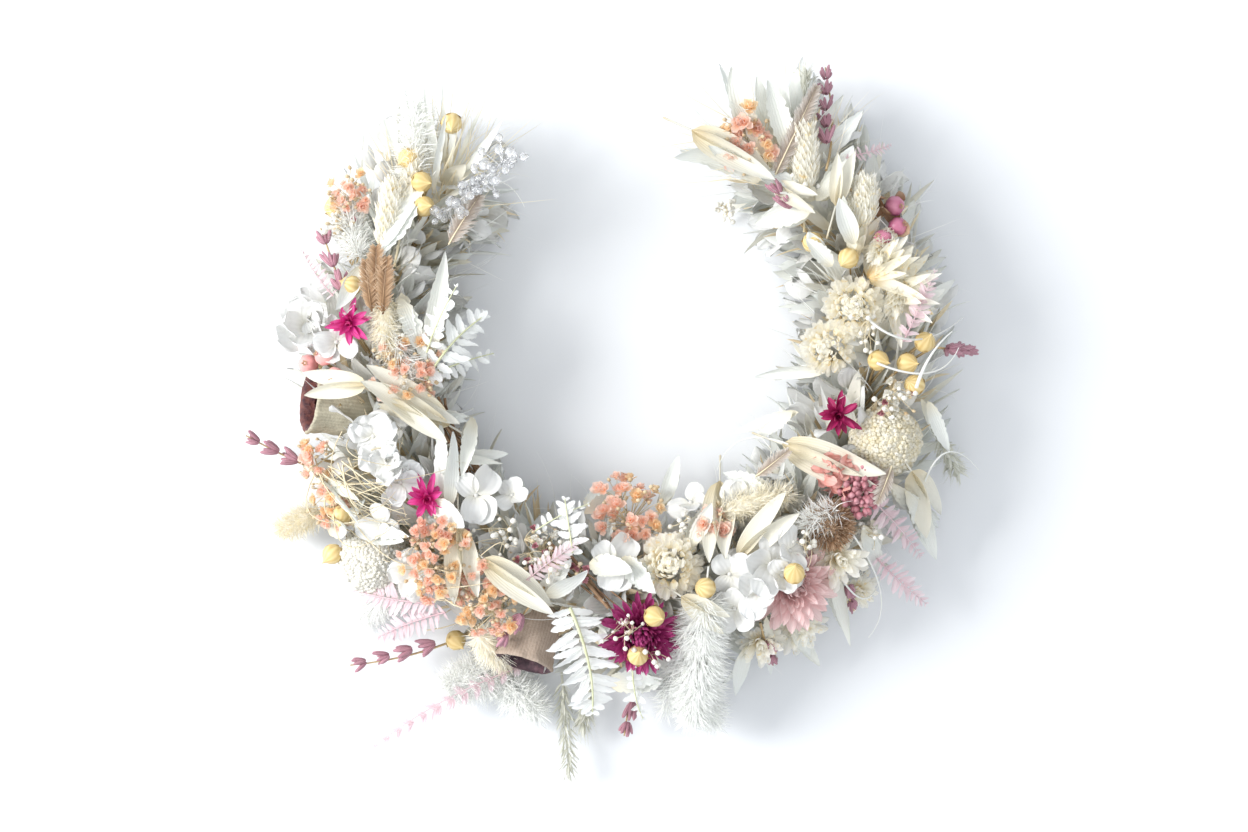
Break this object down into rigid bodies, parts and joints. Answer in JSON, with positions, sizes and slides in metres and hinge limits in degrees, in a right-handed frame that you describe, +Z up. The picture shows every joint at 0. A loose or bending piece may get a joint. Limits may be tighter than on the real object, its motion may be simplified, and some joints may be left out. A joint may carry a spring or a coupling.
{
  "type": "flower crown",
  "caption": "Open ring of dried, bleached and dyed flowers, seed pods, grasses and leaves bound to a taped wire with an eye at each end.",
  "frame": {"origin": "centre of the wire ring, on the plane that the crown lies on", "axes": "+Z up, out of the resting plane; +Y towards the gap between the two ends; +X to the right seen from above"},
  "size_m": [0.2794, 0.274, 0.0616],
  "materials": {
    "ring_wire": "dull galvanised wire",
    "dry_stem": "dry straw-brown stem, fine grooves",
    "florist_tape": "cream crepe florist's tape, waxy",
    "bark": "grey-green bark, cracked, red-brown inside",
    "cream_floret": "cream papery florets",
    "magenta_bract": "glossy papery magenta bracts",
    "blush_bract": "faded pink papery bracts",
    "brown_floret": "fluffy brown florets with cream bracts",
    "hot_pink_petal": "dyed hot pink petals",
    "rose_bud": "small rose-pink buds",
    "flax_pod": "golden ribbed capsules, satin",
    "berry_skin": "waxy pink berry skin",
    "lavender_bud": "dusty pink ribbed buds",
    "bleached_leaf": "bleached leaf, parallel veins, matt",
    "pink_frond": "pale pink preserved frond",
    "feather": "brown and grey feather vane",
    "oat_husk": "pale straw husk with parallel veins",
    "white_petal": "thin bleached petal, fine veins",
    "peach_floret": "peach gypsophila florets on fine stalks",
    "white_floret": "white gypsophila florets on fine stalks",
    "white_plume": "fine white plume hair",
    "grass_head": "cream grass head with fine awns",
    "clear_bead": "clear resin beads on clear stalks"
  },
  "bodies": {
    "root": {"binding_wire": "ring_wire", "bound_stems": "dry_stem", "brown_twig": "bark", "bunny_tails": "grass_head", "core_wire": "ring_wire", "craspedia_ball": "cream_floret", "cream_ball": "cream_floret", "cream_pompon_base": "cream_floret", "cream_pompons_right": "cream_floret", "crystal_sprig": "clear_bead", "end_spray_left": "bleached_leaf", "end_spray_right": "bleached_leaf", "feathers_left": "feather", "feathers_right": "feather", "flax_pods_base": "flax_pod", "flax_pods_left": "flax_pod", "flax_pods_right": "flax_pod", "flower_stalks_base": "dry_stem", "flower_stalks_left": "dry_stem", "flower_stalks_right": "dry_stem", "grass_spikes": "grass_head", "gumnut_base": "bark", "gumnut_left": "bark", "hydrangea_base": "white_petal", "hydrangea_left": "white_petal", "lavender_base": "lavender_bud", "lavender_left": "lavender_bud", "lavender_right": "lavender_bud", "oat_husks_base": "oat_husk", "oat_husks_left": "oat_husk", "oat_husks_right": "oat_husk", "peach_gypsophila_base": "peach_floret", "peach_gypsophila_left": "peach_floret", "peach_gypsophila_right": "peach_floret", "pepper_berries_left": "berry_skin", "pepper_berries_right": "berry_skin", "phalaris_heads": "grass_head", "pink_fern_base": "pink_frond", "pink_fern_left": "pink_frond", "pink_fern_right": "pink_frond", "rice_flower": "rose_bud", "ruscus_leaves_base": "bleached_leaf", "ruscus_leaves_left": "bleached_leaf", "ruscus_leaves_right": "bleached_leaf", "scabiosa_head": "brown_floret", "serrated_daisy": "cream_floret", "star_flower_left": "hot_pink_petal", "star_flower_lower_left": "hot_pink_petal", "star_flower_right": "magenta_bract", "strawflower_magenta": "magenta_bract", "strawflower_pink": "blush_bract", "tape_wrap": "florist_tape", "white_fern_base": "bleached_leaf", "white_fern_left": "bleached_leaf", "white_gypsophila": "white_floret", "white_plume": "white_plume"}
  },
  "joints": []
}
